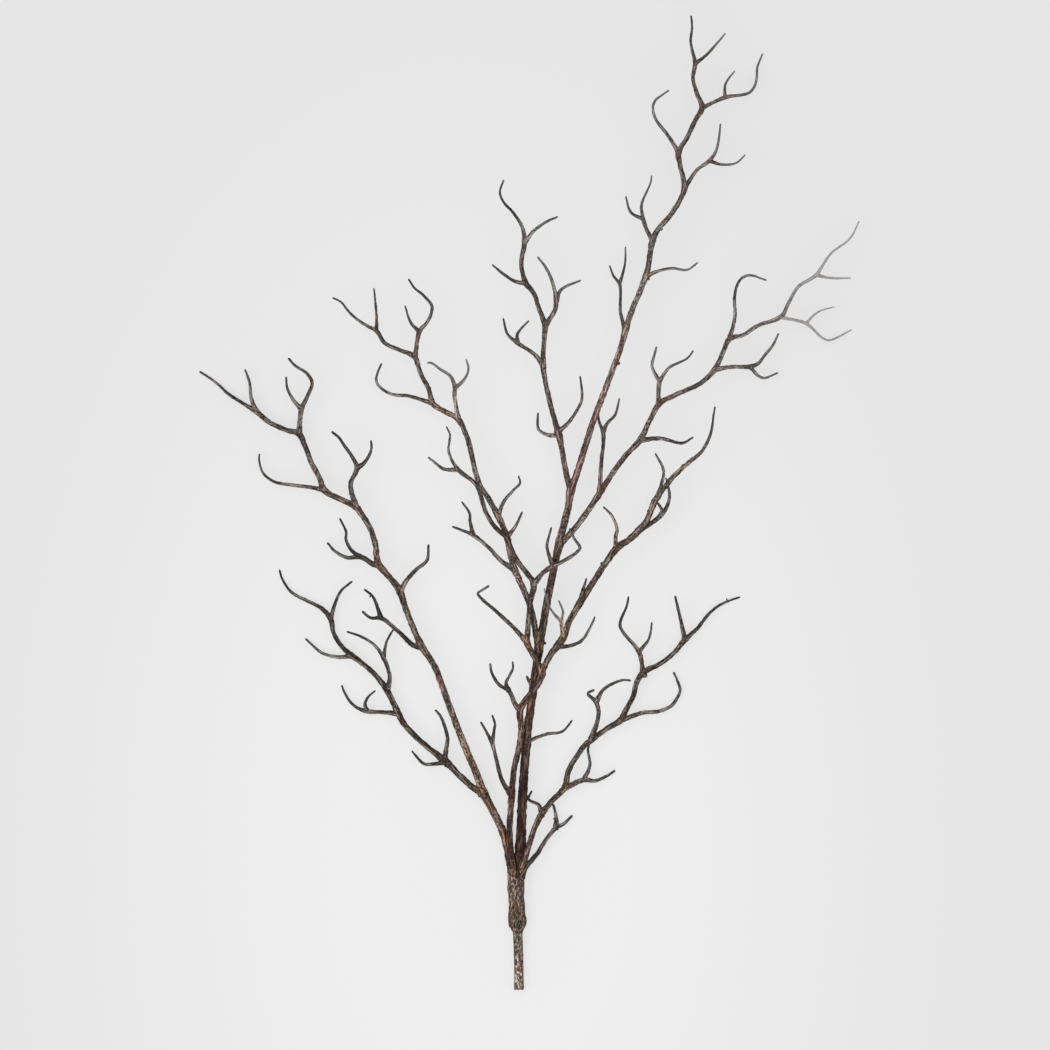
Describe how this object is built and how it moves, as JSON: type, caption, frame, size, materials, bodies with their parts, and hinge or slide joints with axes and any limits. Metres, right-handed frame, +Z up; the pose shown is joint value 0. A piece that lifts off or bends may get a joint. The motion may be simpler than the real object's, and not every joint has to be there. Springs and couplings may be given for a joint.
{
  "type": "bare forked branch with a cut stem",
  "caption": "Bare forked decorative tree branch with a straight cut stem and a thick ridged collar where its limbs meet, lying down.",
  "frame": {"origin": "centre of the footprint of the lying branch, on the floor that it rests on", "axes": "+Y from the cut end of the stem towards the top twig, +Z up from the floor"},
  "size_m": [0.6612, 0.9748, 0.0788],
  "materials": {
    "stem_bark": "rough dry bark, mottled tan and dark brown, with a pale cut end",
    "collar_bark": "rough ridged bark, mottled tan and dark brown",
    "limb_bark": "rough dry bark, dark brown with tan flecks and reddish forks",
    "twig_bark": "dry bark, grey brown to nearly black at the tips"
  },
  "bodies": {
    "root": {"stem": "stem_bark", "collar": "collar_bark", "main_limb_lower": "limb_bark", "main_limb_middle": "limb_bark", "main_limb_upper": "limb_bark", "main_limb_top": "limb_bark", "main_limb_tip": "limb_bark", "left_limb_lower": "limb_bark", "left_limb_middle": "limb_bark", "left_limb_upper": "limb_bark", "left_limb_tip": "limb_bark", "inner_limb_lower": "limb_bark", "inner_limb_middle": "limb_bark", "inner_limb_tip": "limb_bark", "left_leader_lower": "limb_bark", "left_leader_middle": "limb_bark", "left_leader_top": "limb_bark", "left_leader_tip": "limb_bark", "crossing_limb_lower": "limb_bark", "crossing_limb_upper": "limb_bark", "low_left_limb_inner": "limb_bark", "low_left_limb_outer": "limb_bark", "right_limb_lower": "limb_bark", "right_limb_middle": "limb_bark", "right_limb_outer": "limb_bark", "upper_right_limb_lower": "limb_bark", "upper_right_limb_outer": "limb_bark", "upper_right_limb_tip": "limb_bark", "centre_limb_lower": "limb_bark", "centre_limb_top": "limb_bark", "main_spray_1": "twig_bark", "main_spray_2": "twig_bark", "main_spray_3": "twig_bark", "main_spray_4": "twig_bark", "left_spray_1": "twig_bark", "left_spray_2": "twig_bark", "left_spray_3": "twig_bark", "left_spray_4": "twig_bark", "low_left_spray_1": "twig_bark", "low_left_spray_2": "twig_bark", "inner_spray_1": "twig_bark", "inner_spray_2": "twig_bark", "inner_spray_3": "twig_bark", "inner_spray_4": "twig_bark", "crossing_spray": "twig_bark", "leader_spray_1": "twig_bark", "leader_spray_2": "twig_bark", "leader_spray_3": "twig_bark", "low_right_twig": "twig_bark", "right_spray_1": "twig_bark", "right_spray_2": "twig_bark", "right_spray_3": "twig_bark", "upper_right_spray_1": "twig_bark", "upper_right_spray_2": "twig_bark", "upper_right_spray_3": "twig_bark", "upper_right_spray_4": "twig_bark", "centre_spray_1": "twig_bark", "centre_spray_2": "twig_bark"}
  },
  "joints": []
}
